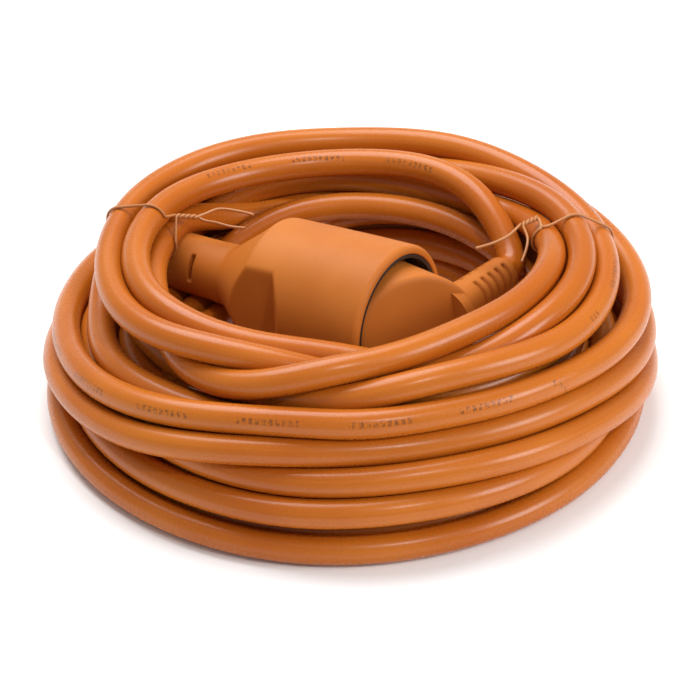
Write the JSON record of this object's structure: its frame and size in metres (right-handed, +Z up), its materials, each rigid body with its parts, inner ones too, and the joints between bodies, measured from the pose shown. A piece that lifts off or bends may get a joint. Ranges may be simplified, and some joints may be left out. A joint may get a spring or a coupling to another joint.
{
  "type": "extension cord",
  "caption": "Coiled and tied mains extension cord in orange soft plastic, with an angled earthed plug pushed into its own in-line socket.",
  "frame": {"origin": "middle of the coil at the floor it lies on", "axes": "+Z up along the coil's axis, +X to the right and +Y to the back with the open side of the coil's mouth seen from the front"},
  "size_m": [0.19, 0.19, 0.0616],
  "materials": {
    "cord_sheath": "smooth flexible PVC",
    "moulded_pvc": "satin moulded soft PVC",
    "dark_insert": "matt hard plastic",
    "contact_brass": "bright",
    "pin_nickel": "bright nickel",
    "copper": "bare strands",
    "core_brown": "smooth",
    "core_blue": "smooth",
    "core_green": "smooth, with a yellow stripe",
    "tie_coating": "thin plastic coat on steel wire"
  },
  "bodies": {
    "root": {"coil": "cord_sheath", "socket_lead": "cord_sheath", "plug_lead": "cord_sheath", "socket_shell": "moulded_pvc", "socket_insert": "dark_insert", "socket_cover": "dark_insert", "socket_line_contact": "contact_brass", "socket_neutral_contact": "contact_brass", "socket_earth_clip": "contact_brass", "socket_line_core": "core_brown", "socket_neutral_core": "core_blue", "socket_earth_core": "core_green", "socket_strands": "copper", "socket_sheath_end": "cord_sheath", "left_tie": "tie_coating", "right_tie": "tie_coating"},
    "plug": {"plug_body": "moulded_pvc", "plug_boot": "moulded_pvc", "pin_bridge": "dark_insert", "line_pin": "pin_nickel", "neutral_pin": "pin_nickel", "plug_earth_strip": "pin_nickel", "plug_line_core": "core_brown", "plug_neutral_core": "core_blue", "plug_earth_core": "core_green", "plug_strands": "copper", "plug_sheath_end": "cord_sheath"}
  },
  "joints": [
    {"name": "plug_pull", "type": "slide", "parent": "root", "child": "plug", "axis": [0.8262, -0.5573, 0.0819], "range_m": [0, 0.01]}
  ]
}
